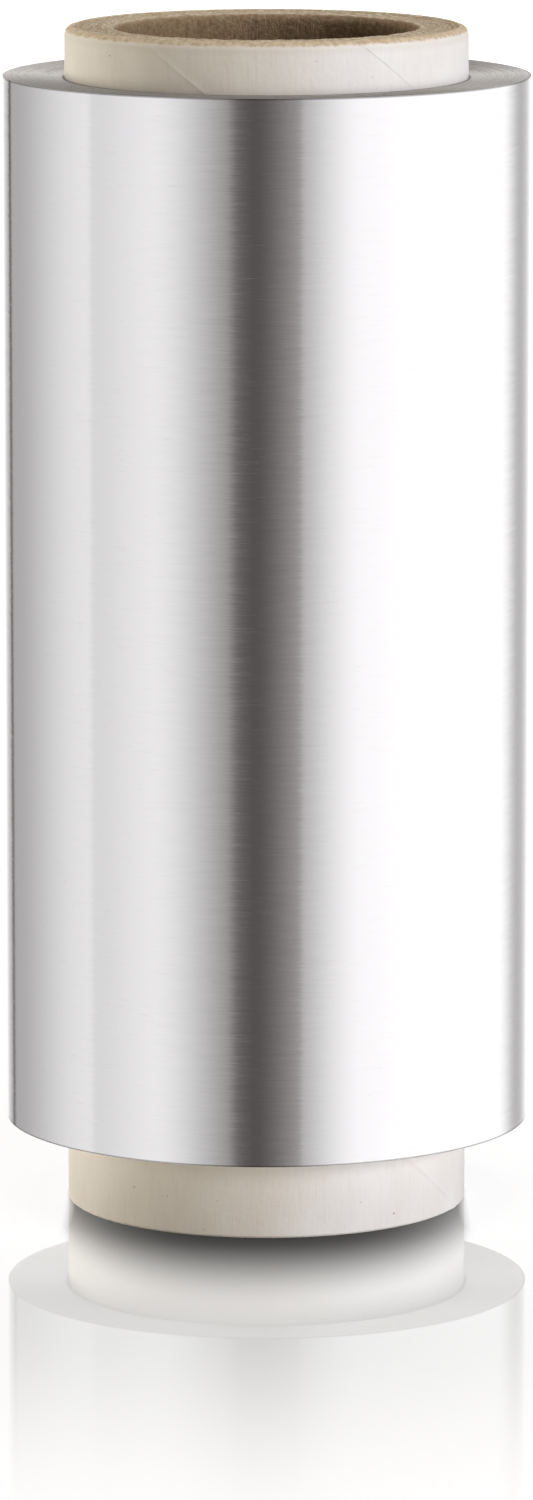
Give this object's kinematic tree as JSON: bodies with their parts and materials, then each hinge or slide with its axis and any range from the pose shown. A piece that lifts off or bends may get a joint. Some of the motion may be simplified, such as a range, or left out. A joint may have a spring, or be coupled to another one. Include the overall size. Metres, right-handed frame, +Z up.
{
  "type": "aluminium foil roll",
  "caption": "Narrow roll of aluminium foil for hairdressing, wound tightly on a longer cardboard core covered in white paper.",
  "frame": {"origin": "centre of the core's lower end face, on the surface that the roll stands on", "axes": "+Z up the roll's axis from the long bare end of the core to the short one, -Y towards the side seen in the picture"},
  "size_m": [0.0599, 0.0599, 0.1354],
  "materials": {
    "foil": "bright rolled foil, finely streaked round the roll",
    "board": "raw brown kraft board",
    "cover_paper": "smooth white paper, slightly shiny"
  },
  "bodies": {
    "root": {"foil_winding": "foil", "core_tube": "board", "core_cover": "cover_paper"}
  },
  "joints": []
}
